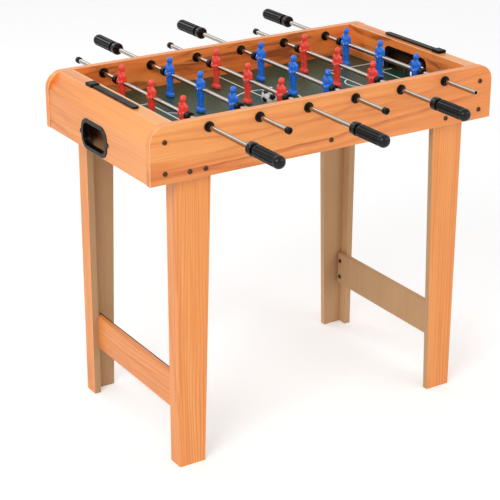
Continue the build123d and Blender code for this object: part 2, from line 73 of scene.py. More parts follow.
class Look:
    """A material round one Principled shader, with short calls that add its nodes."""

    def __init__(self, name, **sockets):
        self.material = bpy.data.materials.new(name)
        self.material.use_nodes = True
        self.tree = self.material.node_tree
        self.shader = self.tree.nodes["Principled BSDF"]
        for socket, value in sockets.items():
            self.feed(self.shader.inputs[socket.replace("_", " ")], value)

    def feed(self, socket, value):
        if isinstance(value, bpy.types.NodeSocket):
            self.tree.links.new(value, socket)
        else:
            socket.default_value = value

    def add(self, kind, inputs=(), **settings):
        node = self.tree.nodes.new("ShaderNode" + kind)
        for key, value in settings.items():
            setattr(node, key, value)
        for key, value in dict(inputs).items():
            self.feed(node.inputs[key], value)
        return node

    def math(self, operation, *values):
        node = self.add("Math", operation=operation)
        for index, value in enumerate(values):
            self.feed(node.inputs[index], value)
        return node.outputs[0]

    def mix(self, factor, first, second, blend="MIX"):
        node = self.add("Mix", data_type="RGBA", blend_type=blend)
        for index, value in ((0, factor), (6, first), (7, second)):
            self.feed(node.inputs[index], value)
        return node.outputs[2]

    def tinted(self, shade, tint):
        return self.mix(1.0, shade, tint, blend="MULTIPLY")

    def remap(self, value, low, high, to_low=0.0, to_high=1.0):
        inputs = {"Value": value, "From Min": low, "From Max": high, "To Min": to_low, "To Max": to_high}
        return self.add("MapRange", inputs).outputs[0]

    def place(self, scale=(1, 1, 1), shift=(0, 0, 0), turn=(0, 0, 0)):
        """The surface's own coordinates, in metres, after a mapping."""
        own = self.add("TexCoord").outputs["Object"]
        inputs = {"Vector": own, "Scale": scale, "Location": shift, "Rotation": turn}
        return self.add("Mapping", inputs).outputs[0]

    def axes(self):
        """X, Y and Z of the surface's own coordinates, in metres."""
        own = self.add("TexCoord").outputs["Object"]
        return list(self.add("SeparateXYZ", {"Vector": own}).outputs)

    def facing(self):
        """X, Y and Z of the surface's normal."""
        normal = self.add("NewGeometry").outputs["Normal"]
        return list(self.add("SeparateXYZ", {"Vector": normal}).outputs)

    def reach(self, first, second):
        """The length of a vector from its two parts."""
        squares = [self.math("POWER", part, 2.0) for part in (first, second)]
        return self.math("SQRT", self.math("ADD", *squares))

    def noise(self, vector, scale=1.0, detail=2.0, roughness=0.5, distortion=0.0, output="Fac"):
        inputs = {"Vector": vector, "Scale": scale, "Detail": detail, "Roughness": roughness,
                  "Distortion": distortion}
        return self.add("TexNoise", inputs).outputs[output]

    def ramp(self, factor, *stops):
        """A grey scale through (position, grey) stops."""
        node = self.add("ValToRGB", {"Fac": factor})
        points = node.color_ramp.elements
        while len(points) < len(stops):
            points.new(0.5)
        for point, (position, grey) in zip(points, stops):
            point.position = position
            point.color = (grey, grey, grey, 1)
        return node.outputs["Color"]

    def bump(self, height, distance, strength=1.0):
        """Adds a relief on top of any relief that is already there."""
        inputs = {"Height": height, "Distance": distance, "Strength": strength}
        node = self.add("Bump", inputs)
        if self.shader.inputs["Normal"].is_linked:
            self.feed(node.inputs["Normal"], self.shader.inputs["Normal"].links[0].from_socket)
        self.feed(self.shader.inputs["Normal"], node.outputs[0])


# ---------------------------------------------------------------- wood foil and raw board
FOIL = colour(250, 162, 88)
FOIL_LINE = colour(226, 122, 55)
FOIL_STREAK = colour(196, 90, 42)
FOIL_PALE = colour(255, 180, 108)
FOIL_DEEP = colour(240, 142, 76)
# painted shade: the dark blotches on the walls round the field
BOX_WALL_SHADE = colour(140, 70, 34)
# painted highlight on rounded edges and on the rail's edge over the goal
ARRIS_HIGHLIGHT = colour(255, 214, 164)
# near-black: the cut faces inside the ball mouths, and the painted shadow line on the left stretcher's top
BLACK_EDGE_AND_SHADOW = colour(24, 19, 16)
RAW = colour(214, 172, 128)
RAW_DARK = colour(186, 146, 104)
RAW_SANDED = colour(150, 112, 76)
# tints that multiply a colour
BOX_WALL_LIGHT = (1.16, 0.93, 0.70, 1)        # painted light and shade on the foil of the walls round the field
BALL_BOX_SHADE = (0.80, 0.68, 0.56, 1)        # painted shade on the raw boards under the goals
BOX_BACK_SHADE = (0.20, 0.16, 0.13, 1)        # painted shade on the raw inner faces of the end boards
# grain layers: counts per metre across the grain and along it
BAND, THREAD, FIBRE, SLOW = (26.0, 1.5), (230.0, 3.4), (900.0, 26.0), (12.0, 1.8)
RING_STRETCH = 0.11                     # growth rings are drawn out along the grain
RING_WANDER = 0.042
WAVE_SCALE = 0.314                      # a wave texture's scale for rings 1 m apart, a tenth of pi
PINE, PINE_LATE, PINE_PORE = colour(222, 182, 126), colour(196, 148, 92), colour(176, 126, 76)


def stretched(look, grain, counts, shift=(0, 0, 0)):
    """Coordinates drawn out along the grain. The counts per metre are across and along it."""
    across, run = counts
    scale = [across, across, across]
    scale["XYZ".index(grain)] = run
    return look.place(scale=scale, shift=shift)


def grain_colour(look, grain, seed, ring=4.0, figure=0.5, streaks=0.4, pith=(0.03, 0.05), crisp=0.45):
    """The foil's printed grain along one axis, and a fine height for its pores. Ring is the rings' width
    in millimetres, pith their middle, and crisp the share of a ring that its dark line takes. Figure and
    streaks are strengths."""
    along = "XYZ".index(grain)
    shift = [0.0, 0.0, 0.0]
    across = [axis for axis in range(3) if axis != along]
    shift[along] = seed * 0.37
    shift[across[0]], shift[across[1]] = pith
    base = stretched(look, grain, (1.0, RING_STRETCH), shift)
    drift = look.noise(base, 14.0, output="Color")
    moved = look.add("VectorMath", {0: drift, 1: (0.5, 0.5, 0.5)}, operation="SUBTRACT").outputs[0]
    moved = look.add("VectorMath", {0: moved, "Scale": RING_WANDER}, operation="SCALE").outputs[0]
    warped = look.add("VectorMath", {0: base, 1: moved}, operation="ADD").outputs[0]
    rings = look.add("TexWave", {"Vector": warped, "Scale": WAVE_SCALE / (ring * MM), "Distortion": 0.8,
                                 "Detail": 2.0, "Detail Scale": 1.2},
                     wave_type="RINGS", rings_direction=grain, wave_profile="SIN").outputs["Fac"]
    line = look.ramp(rings, (0.0, 1.0), (crisp * 0.36, 0.6), (crisp, 0.0))
    patch = look.noise(base, 16.0, detail=3.0, distortion=0.6)
    line = look.math("MULTIPLY", line, look.remap(patch, 0.35, 0.65, 0.15 * figure, figure))
    own = (seed, seed * 2.3, seed * 3.1)
    band = look.noise(stretched(look, grain, BAND, own), detail=3.0, roughness=0.55, distortion=0.5)
    thread = look.noise(stretched(look, grain, THREAD, own), detail=3.0, roughness=0.6)
    fibre = look.noise(stretched(look, grain, FIBRE), detail=3.0, roughness=0.65)
    slow = look.noise(stretched(look, grain, SLOW, own), distortion=0.3)
    shade = look.mix(look.remap(band, 0.34, 0.52, 0.55, 0.0), FOIL, FOIL_PALE)
    shade = look.mix(look.remap(slow, 0.50, 0.68, 0.0, 0.5), shade, FOIL_DEEP)
    shade = look.mix(line, shade, FOIL_LINE)
    shade = look.mix(look.remap(thread, 0.46, 0.70, 0.0, 0.45), shade, FOIL_LINE)
    broad = look.remap(band, 0.56, 0.74, 0.0, streaks)
    red = look.math("MULTIPLY", broad, look.remap(thread, 0.3, 0.6, 0.45, 1.0))
    shade = look.mix(red, shade, FOIL_STREAK)
    shade = look.mix(look.remap(fibre, 0.4, 0.75, 0.0, 0.22), shade, FOIL_LINE)
    return shade, fibre


def strongest(look, values):
    """The greatest of some values."""
    total = values[0]
    for value in values[1:]:
        total = look.math("MAXIMUM", total, value)
    return total


# Long streaks on a side panel: start along X, height over the lower edge, slope, and strength.
SWOOSHES = ((-0.33, 16 * MM, 0.020, 1.0), (-0.05, 19 * MM, 0.075, 0.8),
            (-0.28, 32 * MM, 0.115, 0.35), (0.02, 52 * MM, 0.10, 0.3))
SWOOSH_OVER, SWOOSH_UNDER = 2.5 * MM, -8.0 * MM     # a streak's soft edges, from its line
SWOOSH_WANDER = 4 * MM
SWOOSH_BEGIN, SWOOSH_FADE, SWOOSH_END = 0.08, 0.30, 0.42
FLAME_SLOPE, FLAME_WANDER, FLAME_REACH = 0.10, 5 * MM, 0.13
FLAME_COUNTS = (44.0, 3.0)                          # streaks per metre, across and along


def wandering(look, value, wander, reach):
    """A value that a slow noise moves by up to a reach either way."""
    return look.math("ADD", value, look.remap(wander, 0.3, 0.7, -reach, reach))


def swoosh(look, low):
    """The long reddish streaks that run close to a side panel's lower edge."""
    x, _, z = look.axes()
    lift = look.math("SUBTRACT", z, low)
    wander = look.noise(look.place(scale=(7.0, 1.0, 1.0)))
    rough = look.noise(look.place(scale=(26.0, 1.0, 260.0)), detail=3.0, roughness=0.6)
    streaks = []
    for start, height, slope, strength in SWOOSHES:
        run = look.math("SUBTRACT", x, start)
        line = look.math("ADD", look.math("MULTIPLY", run, slope), height)
        off = look.math("SUBTRACT", lift, wandering(look, line, wander, SWOOSH_WANDER))
        over, under = look.remap(off, SWOOSH_OVER, 0.0), look.remap(off, SWOOSH_UNDER, 0.0)
        streak = look.math("MULTIPLY", over, under)
        streak = look.math("MULTIPLY", streak, look.remap(run, 0.0, SWOOSH_BEGIN))
        fade = look.math("MULTIPLY", look.remap(run, SWOOSH_END, SWOOSH_FADE), strength)
        streaks.append(look.math("MULTIPLY", streak, fade))
    return look.math("MULTIPLY", strongest(look, streaks), look.remap(rough, 0.33, 0.58, 0.5, 1.0))


def flame(look):
    """The reddish streaks that run in from an end panel's back edge and fade out."""
    _, y, z = look.axes()
    run = look.math("SUBTRACT", GEO["left_end_panel"][1].y, y)
    wander = look.noise(look.place(scale=(1.0, 9.0, 1.0)))
    level = look.math("ADD", look.math("MULTIPLY", run, FLAME_SLOPE), z)
    level = wandering(look, level, wander, FLAME_WANDER)
    lines = look.add("CombineXYZ", {"X": look.math("MULTIPLY", level, FLAME_COUNTS[0]),
                                    "Y": look.math("MULTIPLY", run, FLAME_COUNTS[1])}).outputs[0]
    lines = look.noise(lines, detail=3.0, roughness=0.6)
    fade = look.remap(run, FLAME_REACH, 0.0, 0.0, 0.95)
    return look.math("MULTIPLY", look.remap(lines, 0.46, 0.74), fade)


def raw_colour(look, seed):
    """Bare fibreboard: a smooth felt of short fibres with faint sanding lines."""
    felt = look.noise(look.place(shift=(seed, 0, 0)), 520.0, detail=4.0, roughness=0.7)
    cloud = look.noise(look.place(scale=(1, 1, 0.3)), 16.0, detail=3.0)
    sanding = look.noise(look.place(scale=(260.0, 260.0, 6.0)))
    shade = look.mix(look.remap(felt, 0.25, 0.75, 0.15, 0.65), RAW, RAW_DARK)
    shade = look.mix(look.remap(cloud, 0.4, 0.75, 0.0, 0.5), shade, RAW_DARK)
    return look.mix(look.remap(sanding, 0.5, 0.75, 0.0, 0.12), shade, RAW_SANDED), felt


def arris(look, axis):
    """1 on the rounded edges of a board that is thin along one axis, 0 on its flat faces."""
    lean = look.math("ABSOLUTE", look.facing()[axis])
    return look.math("MULTIPLY", look.remap(lean, 0.25, 0.45), look.remap(lean, 0.99, 0.93))


def shaded(look, shade, mask, seed):
    """Walls round the field: the foil tinted with painted light and shade, and long dark blotches of
    painted shade.
    """
    base = look.place(scale=(9.0, 9.0, 60.0), shift=(seed, 0, 0))
    shade_blotch = look.noise(base, detail=4.0, distortion=0.7)
    deep = look.mix(look.remap(shade_blotch, 0.50, 0.66, 0.0, 0.75), look.tinted(shade, BOX_WALL_LIGHT), BOX_WALL_SHADE)
    return look.mix(mask, shade, deep)


def foil_look(name, grain, seed, raw=None, face_light=None, deep_shade=None, inner=None, dark=None, thin=None,
              lip=None, sweep=None, flames=False, **grain_options):
    """Foil on the faces that show. The masks: raw is bare board, face_light a bare face and its tint,
    painted light on the back-right leg and painted shade on the back-left one, deep_shade bare board
    darkened as painted shade, inner the walls round the field, which take painted light and shade, dark the
    near-black edges and a painted shadow line, and lip the painted highlight on the edge over the goal. The
    axis thin takes painted highlights on its arrises, and sweep is where the long streaks start."""
    look = Look(name, IOR=1.46)
    shade, fibre = grain_colour(look, grain, seed, **grain_options)
    if sweep is not None:
        shade = look.mix(look.remap(look.axes()[0], -0.05, 0.30, 0.0, 0.45), shade, FOIL_DEEP)
        shade = look.mix(swoosh(look, sweep), shade, FOIL_STREAK)
    if flames:
        shade = look.mix(look.remap(look.axes()[1], 0.05, -0.16, 0.0, 0.55), shade, FOIL_PALE)
        shade = look.mix(flame(look), shade, FOIL_STREAK)
    # the walls round the field take painted light and shade
    if inner:
        shade = shaded(look, shade, inner(look), seed)
    # painted highlights on the arrises and on the rail's edge over the goal
    if thin is not None:
        shade = look.mix(look.math("MULTIPLY", arris(look, thin), 0.8), shade, ARRIS_HIGHLIGHT)
    if lip:
        shade = look.mix(lip(look), shade, ARRIS_HIGHLIGHT)
    gloss = look.remap(fibre, 0.3, 0.7, 0.30, 0.42)
    if raw:
        mask = raw(look)
        bare, felt = raw_colour(look, seed)
        # one bare face of a far leg is tinted with painted light, another with painted shade
        if face_light:
            bare = look.mix(face_light[0](look), bare, look.tinted(bare, face_light[1]))
        # painted shade darkens the bare board inside the end boxes
        if deep_shade:
            bare = look.mix(deep_shade(look), bare, look.tinted(bare, BOX_BACK_SHADE))
        shade = look.mix(mask, shade, bare)
        gloss = look.math("ADD", gloss, look.math("MULTIPLY", mask, 0.4))
        fibre = look.mix(mask, fibre, felt)
    # near-black faces, and the painted shadow line on the left stretcher
    if dark:
        shade = look.mix(dark(look), shade, BLACK_EDGE_AND_SHADOW)
    look.feed(look.shader.inputs["Base Color"], shade)
    look.feed(look.shader.inputs["Roughness"], gloss)
    look.bump(fibre, 0.00005, 0.5)
    return look.material


def pine_look(name, grain, seed):
    """Planed softwood with broad growth rings."""
    look = Look(name, IOR=1.45, Roughness=0.6)
    base = stretched(look, grain, (1.0, 0.1), (0.03, 0.02, seed))
    rings = look.add("TexWave", {"Vector": base, "Scale": 70.0, "Distortion": 2.0, "Detail": 2.0},
                     wave_type="RINGS", rings_direction=grain).outputs["Fac"]
    fibre = look.noise(stretched(look, grain, (700.0, 30.0)), detail=3.0)
    shade = look.mix(rings, PINE, PINE_LATE)
    shade = look.mix(look.remap(fibre, 0.4, 0.7, 0.0, 0.4), shade, PINE_PORE)
    look.feed(look.shader.inputs["Base Color"], shade)
    look.bump(fibre, 0.0001, 0.7)
    return look.material


# ---------------------------------------------------------------- masks
PLANE_FADE = 0.1 * MM       # half the width over which a mask changes at a plane
FACE_DEPTH = 1.5 * MM
LIP_WIDTH = 2.0 * MM


def beyond(axis, limit, side):
    """A mask: 1 where the surface lies past a plane, on one side of it."""
    def mask(look):
        value = look.math("MULTIPLY", look.axes()[axis], float(side))
        return look.remap(value, side * limit - PLANE_FADE, side * limit + PLANE_FADE)
    return mask


def turned(axis, side):
    """A mask: 1 where the surface faces along an axis."""
    def mask(look):
        value = look.math("MULTIPLY", look.facing()[axis], float(side))
        return look.remap(value, 0.5, 0.7)
    return mask


def either(*masks):
    return lambda look: strongest(look, [mask(look) for mask in masks])


def both(first, second):
    return lambda look: look.math("MULTIPLY", first(look), second(look))


def neither(*masks):
    joined = either(*masks)
    return lambda look: look.math("SUBTRACT", 1.0, joined(look))


def goal_edge(side):
    """A mask: the thin arris along the rail's edge over the goal, which takes a painted highlight."""
    edge = min(abs(corner.x) for corner in GEO["left_end_panel" if side < 0 else "right_end_panel"])
    return both(turned(2, 1), neither(beyond(0, side * (edge + LIP_WIDTH), side)))


def hole_faces(side):
    """A mask: the raw faces of the opening that is cut in an end panel's upright board."""
    low, high = GEO["left_ball_mouth" if side < 0 else "right_ball_mouth"]
    centre, half = (low.y + high.y) / 2, (high.y - low.y) / 2

    def mask(look):
        wide = look.math("ABSOLUTE", look.math("SUBTRACT", look.axes()[1], centre))
        near = look.remap(wide, half, half - MM)
        below = look.remap(look.axes()[2], high.z, high.z - MM)
        edge = look.remap(look.math("ABSOLUTE", look.facing()[0]), 0.8, 0.6)
        return look.math("MULTIPLY", look.math("MULTIPLY", near, below), edge)
    return mask


def outer_face(axis, plane, side):
    """A mask: 1 on a face that lies in a plane and looks outwards along its axis."""
    return both(turned(axis, side), beyond(axis, plane - side * FACE_DEPTH, side))


# ---------------------------------------------------------------- cabinet
def paint(node, material):
    """Gives a CAD node's object one material."""
    slots = frame["nodes"][node].material_slots
    if not slots:
        frame["nodes"][node].data.materials.append(material)
    for slot in slots:
        slot.material = material


BOX_INSIDE = 0.31                   # past this X a face lies behind a goal wall
FAR_SHADOW_LINE = 3.0 * MM                 # the painted shadow line along the back of the left stretcher's top
LEG_PITH = (0.080, 0.012)           # the middle of a leg's growth rings, from its outer faces
# painted light on one bare face of the back-right leg, painted shade on one of the back-left leg
FACE_LIGHT_TINTS = {"back_right": (turned(0, -1), (1.22, 1.28, 1.36, 1)),
         "back_left": (turned(1, -1), (0.84, 0.82, 0.80, 1))}
# figure, streaks and crispness of a leg's grain
LEG_GRAIN = {"front_left": (1.0, 0.1, 0.32)}
OTHER_GRAIN = (0.6, 0.3, 0.42)


def paint_side_panels():
    low = GEO["front_side_panel"][0].z
    for seed, (name, side) in enumerate((("front", -1), ("back", 1))):
        # the walls round the field take painted light and shade
        paint(f"{name}_side_panel", foil_look(
            f"{name}_panel_foil", "X", 3 + seed * 5, ring=6.5, figure=0.8, streaks=0.55, pith=(0.02, -0.55),
            raw=turned(2, -1), inner=turned(1, -side), thin=1, sweep=low))


def paint_ends():
    # The walls round the field take painted light and shade, and the bare inner faces of the end boards,
    # behind the goal walls, take painted shade.
    for seed, (name, side) in enumerate((("left", -1), ("right", 1))):
        inside, hidden = turned(0, -side), beyond(0, side * BOX_INSIDE, side)
        within = both(inside, hidden)
        paint(f"{name}_end_panel", foil_look(
            f"{name}_end_foil", "Y", 11 + seed * 4, ring=7.0, figure=0.45, streaks=0.3,
            raw=either(turned(2, -1), within), deep_shade=within, dark=hole_faces(side),
            inner=both(inside, neither(hidden)), lip=goal_edge(side), flames=True))
        paint(f"{name}_goal_wall", foil_look(
            f"{name}_goal_foil", "Y", 21 + seed * 4, ring=6.0, figure=0.6, streaks=0.6,
            raw=turned(0, side), inner=inside))
    paint("end_strips", foil_look("strip_foil", "Y", 41, ring=5.0, streaks=0.6, inner=turned(2, 1)))


def paint_stretchers():
    """The left stretcher's top is foil with a painted shadow line at the back, the right one's is bare."""
    grain = {"ring": 5.0, "figure": 0.6, "streaks": 0.5}
    shadow_start = GEO["left_stretcher"][1].x - FAR_SHADOW_LINE
    top = turned(2, 1)
    paint("left_stretcher", foil_look(
        "left_stretcher_foil", "Y", 31, raw=neither(turned(0, -1), top),
        dark=both(top, beyond(0, shadow_start, 1)), **grain))
    paint("right_stretcher", foil_look("right_stretcher_foil", "Y", 35, raw=neither(turned(0, 1)), **grain))


def paint_legs():
    """Foil on each leg's two outer faces, bare board on the rest, with painted light on one bare face of
    the back-right leg and painted shade on one of the back-left leg.
    """
    legs = (("front_left", -1, -1), ("front_right", 1, -1), ("back_left", -1, 1), ("back_right", 1, 1))
    for seed, (name, x_side, y_side) in enumerate(legs):
        corner = GEO[f"{name}_leg"][0 if x_side < 0 else 1].x
        face = GEO[f"{name}_leg"][0 if y_side < 0 else 1].y
        outer = [outer_face(0, corner, x_side), outer_face(1, face, y_side)]
        figure, streaks, crisp = LEG_GRAIN.get(name, OTHER_GRAIN)
        paint(f"{name}_leg", foil_look(
            f"{name}_leg_foil", "Z", 51 + seed * 3, ring=5.2, figure=figure, streaks=streaks, crisp=crisp,
            raw=neither(*outer), face_light=FACE_LIGHT_TINTS.get(name),
            pith=(LEG_PITH[0] * x_side - corner, LEG_PITH[1] * y_side - face)))


def paint_inside():
    """The raw boards and pine pieces inside the end boxes and under the field. The boards in the end boxes
    are darkened as painted shade.
    """
    for node in ("ball_box_walls", "ball_box_floors"):
        look = Look(node + "_board", IOR=1.45)
        shade, felt = raw_colour(look, 5)
        look.feed(look.shader.inputs["Base Color"], look.tinted(shade, BALL_BOX_SHADE))
        look.feed(look.shader.inputs["Roughness"], look.remap(felt, 0.3, 0.7, 0.75, 0.9))
        look.bump(felt, 0.0001)
        paint(node, look.material)
    paint("field_batten", pine_look("field_batten_pine", "Y", 61))
    paint("corner_blocks", pine_look("corner_blocks_pine", "Z", 62))


# ---------------------------------------------------------------- printed field
LINE_HALF, LINE_FADE = 1.55 * MM, 0.15 * MM
CIRCLE, SPOT = 59 * MM, 3 * MM
BOX_X, BOX_Y = 190 * MM, 90 * MM
GOAL_BOX_X, GOAL_BOX_Y = 276 * MM, 42.5 * MM
ARC_X, ARC = 200.5 * MM, 29 * MM
PRINT_SHIFT = 4 * MM        # the print lies off the board's middle
GRASS, GRASS_LIGHT, GRASS_DARK = colour(22, 62, 42), colour(32, 78, 52), colour(18, 48, 34)
CHALK, CHALK_WORN = colour(250, 252, 246), colour(220, 230, 216)


def pitch_lines(look):
    """A mask: 1 on the printed lines of a pitch."""
    x, y, _ = look.axes()
    x = look.math("ADD", x, PRINT_SHIFT)
    wide, deep = look.math("ABSOLUTE", x), look.math("ABSOLUTE", y)

    def stroke(distance):
        return look.remap(look.math("ABSOLUTE", distance), LINE_HALF + LINE_FADE, LINE_HALF - LINE_FADE)

    def straight(value, place, across, test, limit):
        """A line at one place along an axis, kept where the other axis is within or past a limit."""
        line = stroke(look.math("SUBTRACT", value, place))
        return look.math("MULTIPLY", line, look.math(test, across, limit))

    def from_centre(centre):
        return look.reach(look.math("SUBTRACT", wide, centre), deep)

    arc = stroke(look.math("SUBTRACT", from_centre(ARC_X), ARC))
    return strongest(look, [
        stroke(x),
        stroke(look.math("SUBTRACT", from_centre(0.0), CIRCLE)),
        look.math("LESS_THAN", from_centre(0.0), SPOT),
        straight(wide, BOX_X, deep, "LESS_THAN", BOX_Y + LINE_HALF),
        straight(deep, BOX_Y, wide, "GREATER_THAN", BOX_X),
        straight(wide, GOAL_BOX_X, deep, "LESS_THAN", GOAL_BOX_Y + LINE_HALF),
        straight(deep, GOAL_BOX_Y, wide, "GREATER_THAN", GOAL_BOX_X),
        look.math("MULTIPLY", arc, look.math("LESS_THAN", wide, BOX_X)),
    ])


def field_look():
    """Green printed hardboard with the white lines of a pitch."""
    look = Look("field_print", IOR=1.48)
    top = look.remap(look.facing()[2], 0.5, 0.7)
    cloth = look.noise(look.place(), 60.0, detail=3.0, roughness=0.6)
    dots = look.noise(look.place(), 1500.0)
    green = look.mix(look.remap(cloth, 0.35, 0.65), GRASS, GRASS_LIGHT)
    green = look.mix(look.remap(dots, 0.4, 0.7, 0.0, 0.25), green, GRASS_DARK)
    white = look.mix(look.remap(dots, 0.45, 0.75, 0.0, 0.3), CHALK, CHALK_WORN)
    board, _ = raw_colour(look, 9)
    printed = look.mix(pitch_lines(look), green, white)
    look.feed(look.shader.inputs["Base Color"], look.mix(top, board, printed))
    look.feed(look.shader.inputs["Roughness"], look.remap(dots, 0.3, 0.7, 0.34, 0.48))
    look.bump(dots, 0.00004, 0.5)
    return look.material


# ---------------------------------------------------------------- plastics, rubber and metals
# painted shade: the grip's ends and the bottoms of its flutes
GRIP_END_SHADE, GRIP_GROOVE_SHADE = colour(3, 3, 3), colour(2, 2, 2)
FLUTE_EDGE, FLUTE_BOTTOM = 0.55 * MM, 1.1 * MM      # below a handle's surface
CHROME, CHROME_RUBBED = colour(164, 158, 150), colour(138, 129, 118)
BLACK_MOULD = (colour(13, 11, 10), colour(8, 7, 6))
BLACK_SATIN = (colour(19, 13, 8), colour(11, 8, 5))
BLACK_RUBBER = (colour(16, 15, 15), colour(10, 10, 10))
BLACK_GRIP = (colour(15, 14, 12), colour(5, 5, 5))
GRIP_RUBBED = colour(26, 25, 23)
BRONZE = (colour(112, 84, 60), colour(50, 37, 27))


def plastic_look(name, base, deep, gloss, grain=900.0, relief=0.00003, wear=0.0, wear_colour=None,
                 folds=0.0, shine=0.5, groove=None):
    """Moulded plastic: a fine spark-eroded skin, slight clouds of colour, and rubbed patches. Folds is
    the depth of a moulded cloth relief, and groove a mask of a grip's flute bottoms, which, with the
    grip's ends, take painted shade."""
    look = Look(name, IOR=1.5, Specular_IOR_Level=shine)
    skin = look.noise(look.place(), grain, detail=3.0, roughness=0.6)
    cloud = look.noise(look.place(), 70.0)
    shade = look.mix(look.remap(cloud, 0.35, 0.7), base, deep)
    if wear:
        rub = look.noise(look.place(), 160.0, detail=5.0, roughness=0.7)
        shade = look.mix(look.remap(rub, 0.6, 0.75, 0.0, wear), shade, wear_colour)
    rough = look.remap(cloud, 0.3, 0.7, gloss - 0.04, gloss + 0.07)
    if groove:
        # the grip's ends and its flute bottoms are darkened as painted shade
        plain = look.remap(look.math("ABSOLUTE", look.facing()[1]), 0.12, 0.4)
        groove_shade = groove(look)
        shade = look.mix(plain, shade, GRIP_END_SHADE)
        shade = look.mix(groove_shade, shade, GRIP_GROOVE_SHADE)
        rough = look.math("ADD", rough, look.math("MULTIPLY", groove_shade, 0.4))
    look.feed(look.shader.inputs["Base Color"], shade)
    look.feed(look.shader.inputs["Roughness"], rough)
    look.bump(skin, relief, 0.7)
    if folds:
        look.bump(look.noise(look.place(), 210.0, detail=3.0, roughness=0.6, distortion=0.6), folds, 0.8)
    return look.material


def chrome_look():
    """Chromed tube: faint drawn lines along it and a few rub marks."""
    look = Look("chrome_plate", Metallic=1.0)
    drawn = look.noise(look.place(scale=(1500.0, 3.0, 1500.0)))
    rub = look.noise(look.place(scale=(60.0, 3.0, 60.0)), detail=3.0, roughness=0.6)
    shade = look.mix(look.remap(rub, 0.5, 0.8, 0.0, 0.3), CHROME, CHROME_RUBBED)
    look.feed(look.shader.inputs["Base Color"], shade)
    look.feed(look.shader.inputs["Roughness"], look.remap(rub, 0.35, 0.75, 0.06, 0.13))
    look.bump(drawn, 0.000002, 0.3)
    return look.material


def screw_look(name, base, deep):
    """Plated steel with a dull, slightly mottled skin."""
    look = Look(name, Metallic=0.85)
    mottle = look.noise(look.place(), 900.0, detail=4.0, roughness=0.7)
    shade = look.mix(look.remap(mottle, 0.35, 0.65), base, deep)
    look.feed(look.shader.inputs["Base Color"], shade)
    look.feed(look.shader.inputs["Roughness"], look.remap(mottle, 0.3, 0.7, 0.28, 0.5))
    look.bump(mottle, 0.00004, 0.6)
    return look.material


def flutes(number):
    """A mask: the bottoms of the flutes in one rod's handle, which take painted shade."""
    low, high = GEO[f"rod_{number}_handle"]
    centre, radius = (low + high) / 2, (high.x - low.x) / 2

    def mask(look):
        x, _, z = look.axes()
        off = look.reach(look.math("SUBTRACT", x, centre.x), look.math("SUBTRACT", z, centre.z))
        aside = look.remap(look.math("ABSOLUTE", look.facing()[1]), 0.4, 0.2)
        return look.math("MULTIPLY", look.remap(off, radius - FLUTE_EDGE, radius - FLUTE_BOTTOM), aside)
    return mask


def paint_fittings():
    """Plastic, rubber, chrome and screws on the CAD's own pieces."""
    black = plastic_look("black_mould", *BLACK_MOULD, 0.28, shine=0.2)
    satin = plastic_look("black_satin", *BLACK_SATIN, 0.36, grain=1400.0, shine=0.10)
    rubber = plastic_look("black_rubber_skin", *BLACK_RUBBER, 0.45, shine=0.25, relief=0.00006)
    chrome = chrome_look()
    bronze = screw_look("bronzed_screw", *BRONZE)
    for node in ("left_ball_mouth", "right_ball_mouth", "front_bushes", "back_bushes"):
        paint(node, black)
    for node in ("goal_frames", "left_score_track", "right_score_track", "left_score_marker",
                 "right_score_marker"):
        paint(node, satin)
    for node in ("cabinet_screws", "stretcher_screws", "ball_mouth_screws"):
        paint(node, bronze)
    for number in RODS:
        paint(f"rod_{number}_tube", chrome)
        paint(f"rod_{number}_handle", plastic_look(
            f"grip_{number}", *BLACK_GRIP, 0.20, grain=500.0, wear=0.2, wear_colour=GRIP_RUBBED, shine=0.3,
            groove=flutes(number)))
        paint(f"rod_{number}_bumpers", rubber)
        if f"rod_{number}_end_cap" in frame["nodes"]:
            paint(f"rod_{number}_end_cap", black)


# ---------------------------------------------------------------- players, sculpted in millimetres
SKIN_VOXEL, SKIN_ROUNDS, SKIN_KEPT = 0.42, 5, 0.45
HEM, SOCK, BELT, SLEEVE, COLLAR = -14.6, -32.9, -5.6, 6.2, 16.2     # heights of the pressed creases
SOLE_REACH, SOLE, HEAD_TOP, ELBOW = 40.9, -40.95, 30.4, 13.4        # the outline they keep within
SCREW_RADIUS, SCREW_DOME, SCREW_SKIRT = 1.9, 0.85, -0.6
SLOT_HALF, SLOT_DEPTH, SLOT_SHARE = 0.28, 0.55, 0.72
SCREW_SEAT = -6.05
PLAYER_WIDTH = 27 * MM
RED = (colour(255, 80, 62), colour(246, 64, 50))
BLUE = (colour(30, 126, 242), colour(20, 106, 224))
STEEL = (colour(222, 216, 206), colour(168, 160, 150))


def unit_form(make, **options):
    """The points and faces of a unit ball, post or block."""
    mesh = bmesh.new()
    make(mesh, **options)
    mesh.verts.ensure_lookup_table()
    points = [vertex.co.copy() for vertex in mesh.verts]
    faces = [[vertex.index for vertex in face.verts] for face in mesh.faces]
    mesh.free()
    return points, faces


BALL = unit_form(bmesh.ops.create_icosphere, subdivisions=3, radius=1.0)
POST = unit_form(bmesh.ops.create_cone, cap_ends=True, segments=32, radius1=1.0, radius2=1.0, depth=1.0)
BLOCK = unit_form(bmesh.ops.create_cube, size=1.0)


class Heap:
    """Overlapping closed forms, gathered as plain points and faces."""

    def __init__(self):
        self.points, self.faces = [], []

    def put(self, form, matrix):
        first = len(self.points)
        self.points += [matrix @ point for point in form[0]]
        self.faces += [[first + corner for corner in face] for face in form[1]]

    def ball(self, centre, radii):
        self.put(BALL, Matrix.Translation(centre) @ Matrix.Diagonal((*radii, 1)))

    def block(self, centre, sizes):
        self.put(BLOCK, Matrix.Translation(centre) @ Matrix.Diagonal((*sizes, 1)))

    def limb(self, start, end, first, second):
        """A round limb between two points, with its own radius at each end."""
        start, end = Vector(start), Vector(end)
        steps = max(4, math.ceil((end - start).length / 1.2))
        for step in range(steps + 1):
            share = step / steps
            radius = first + (second - first) * share
            self.ball(start.lerp(end, share), (radius, radius, radius))


